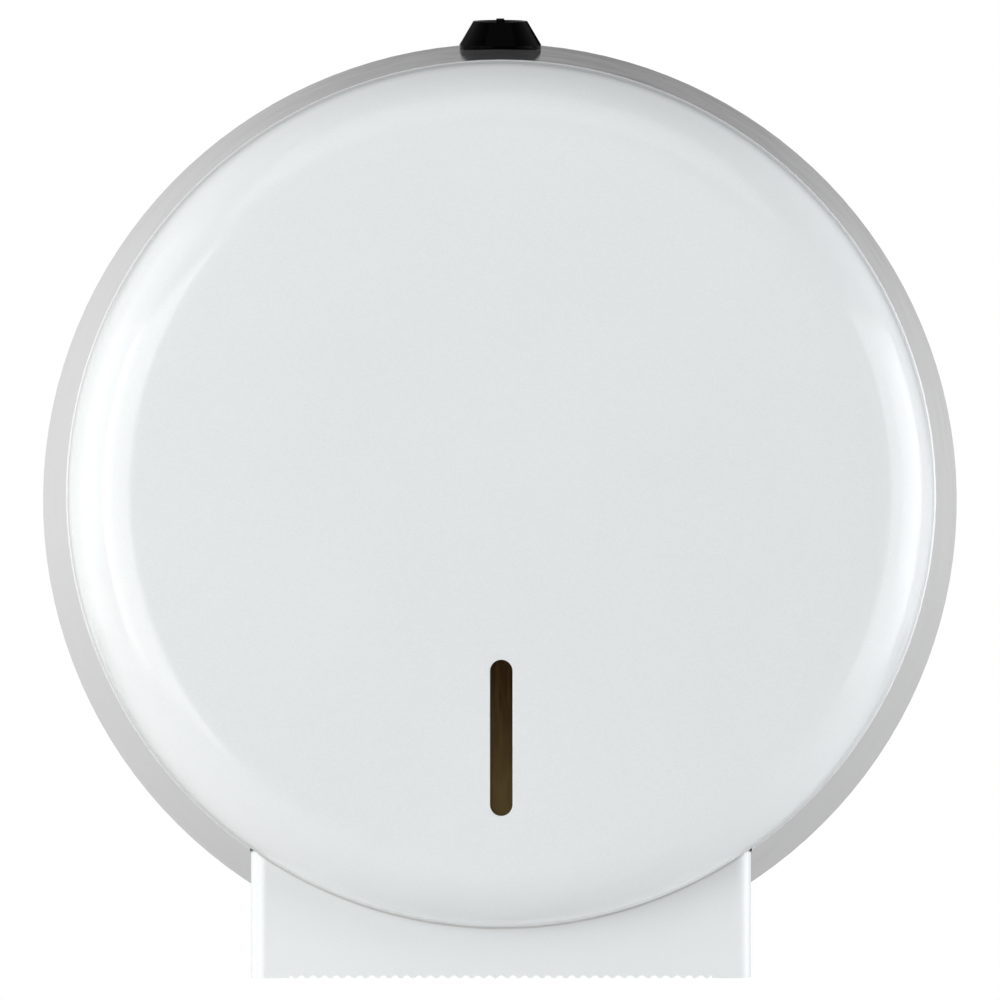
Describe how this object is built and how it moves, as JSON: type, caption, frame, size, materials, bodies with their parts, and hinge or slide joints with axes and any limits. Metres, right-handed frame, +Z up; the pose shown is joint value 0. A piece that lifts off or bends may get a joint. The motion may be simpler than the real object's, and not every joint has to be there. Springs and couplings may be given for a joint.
{
  "type": "jumbo toilet roll dispenser",
  "caption": "Round wall-mounted dispenser for jumbo toilet rolls: white dished cover with a sight slot, grey conical side ring, toothed paper chute and quarter-turn lock.",
  "frame": {"origin": "centre of the round back plate, on the wall plane", "axes": "+Z up, -Y out of the wall towards the user, +X to the user's right"},
  "size_m": [0.278, 0.126, 0.2844],
  "materials": {
    "white_plastic": "glossy",
    "grey_plastic": "glossy",
    "back_plastic": "satin",
    "hub_plastic": "satin",
    "bearing_plastic": "matte",
    "black_plastic": "glossy",
    "smoked_plastic": "glossy smoked brown",
    "rubber": "matte",
    "steel": "zinc plated",
    "spring_steel": "blued"
  },
  "bodies": {
    "base": {"back_plate": "back_plastic", "lock_catch": "steel", "catch_screws": "steel", "spindle": "back_plastic", "spindle_screws": "steel", "hub_washers": "bearing_plastic", "hub_clip": "spring_steel", "hinge_pins": "steel", "rim_buffers": "rubber"},
    "cover": {"front_cover": "white_plastic", "side_ring": "grey_plastic", "paper_chute": "white_plastic", "cover_screws": "steel", "chute_screws": "steel", "sight_window": "smoked_plastic", "push_nuts": "spring_steel", "hinge_bushes": "bearing_plastic", "lock_bezel": "black_plastic", "lock_nut": "steel"},
    "lock": {"lock_plug": "black_plastic", "lock_cam": "steel", "cam_screw": "steel"},
    "hub": {"roll_hub": "hub_plastic", "hub_bushes": "bearing_plastic"}
  },
  "joints": [
    {"name": "cover_hinge", "type": "hinge", "parent": "base", "child": "cover", "pos_m": [0, -0.009, -0.1316], "axis": [1, 0, 0], "range_deg": [0, 90]},
    {"name": "lock_turn", "type": "hinge", "parent": "cover", "child": "lock", "pos_m": [0, -0.027, 0.13556], "axis": [0, -0.13, 0.9915], "range_deg": [-90, 0]},
    {"name": "hub_spin", "type": "hinge", "parent": "base", "child": "hub", "pos_m": [0, 0, 0], "axis": [0, -1, 0], "continuous": true}
  ]
}
